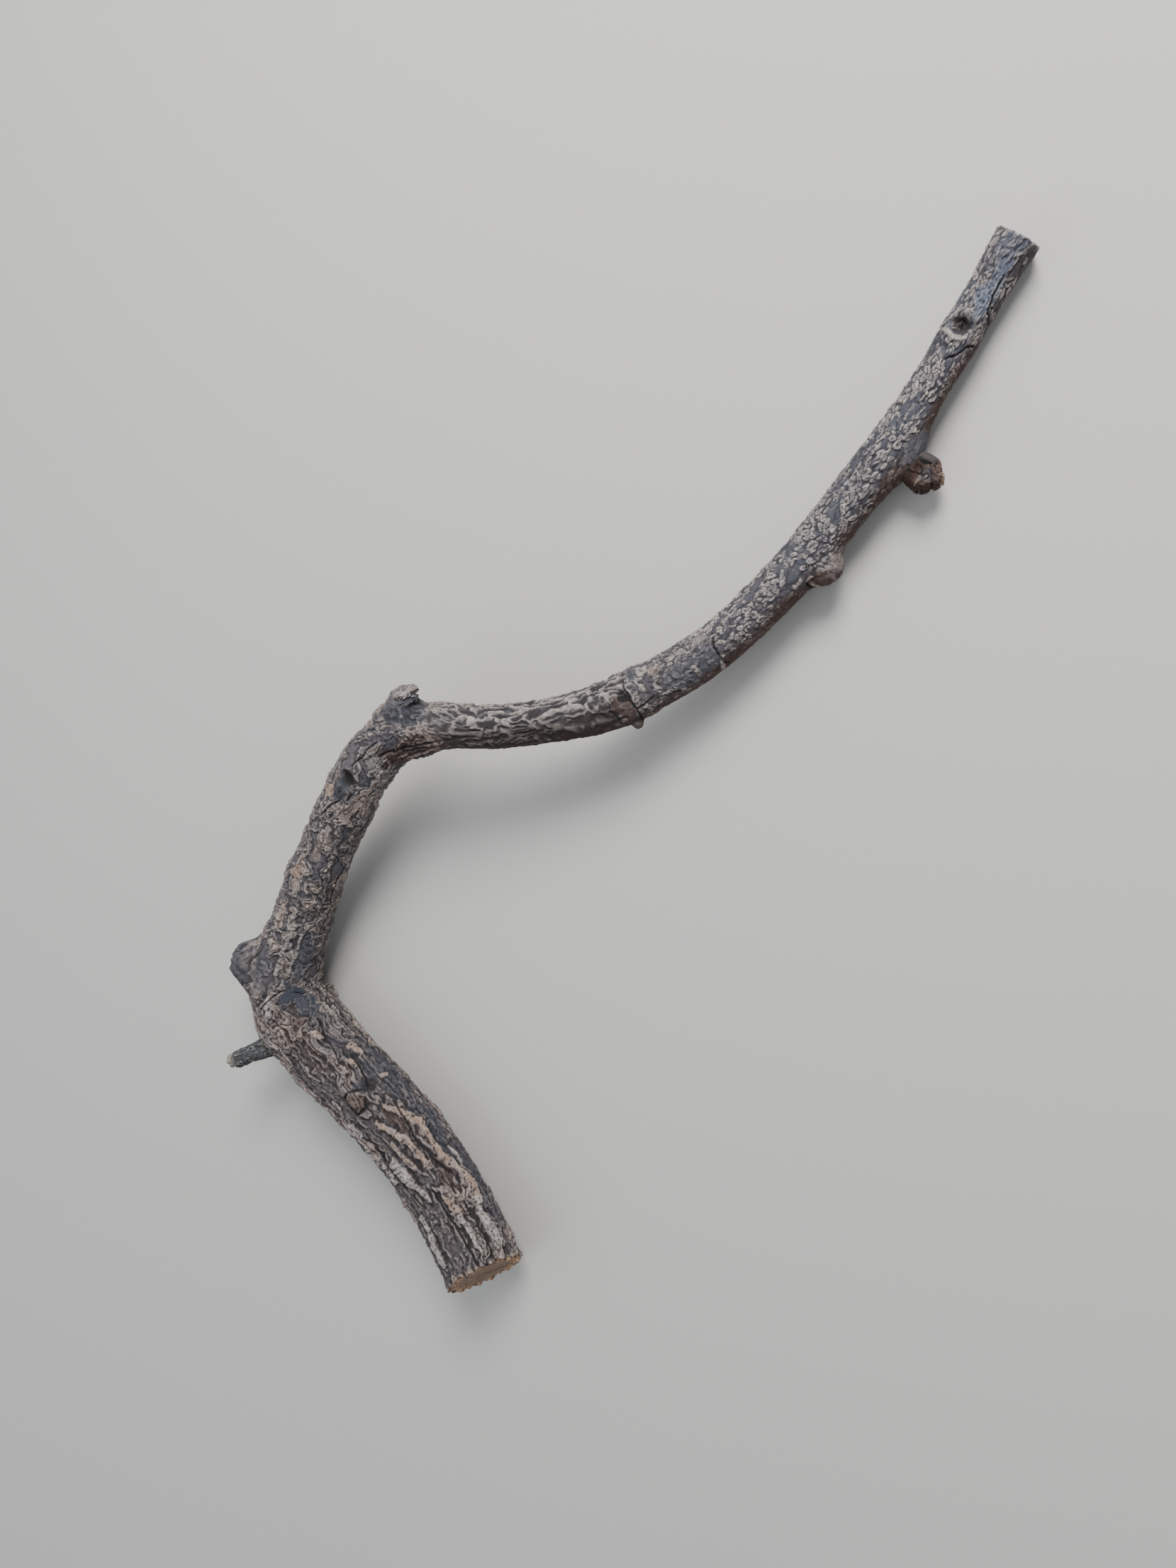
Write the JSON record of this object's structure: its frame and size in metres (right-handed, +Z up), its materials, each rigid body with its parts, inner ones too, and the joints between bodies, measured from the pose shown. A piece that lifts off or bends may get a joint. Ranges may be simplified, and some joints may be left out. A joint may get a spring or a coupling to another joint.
{
  "type": "fallen tree branch",
  "caption": "Crooked dead tree branch with furrowed bark, sawn at both ends, with a short dead twig and a snapped side branch, lying on a surface.",
  "frame": {"origin": "under the middle of the branch's footprint, on the surface it lies on", "axes": "+Z up from the surface, +Y along the footprint's long side, from the thick sawn butt towards the thin sawn tip, +X towards the tip's side"},
  "size_m": [0.5218, 0.5898, 0.0756],
  "materials": {
    "furrowed_bark": "matt, deeply furrowed charcoal bark with tan scraped ridges",
    "corky_bark": "matt, grey-beige corky nodules on blue-grey bark",
    "twig_bark": "matt, smooth blue-grey dead twig",
    "broken_wood": "matt, weathered splintered wood"
  },
  "bodies": {
    "root": {"butt_limb": "furrowed_bark", "middle_limb": "corky_bark", "upper_limb": "corky_bark", "side_twig": "twig_bark", "snapped_side_branch": "broken_wood"}
  },
  "joints": []
}
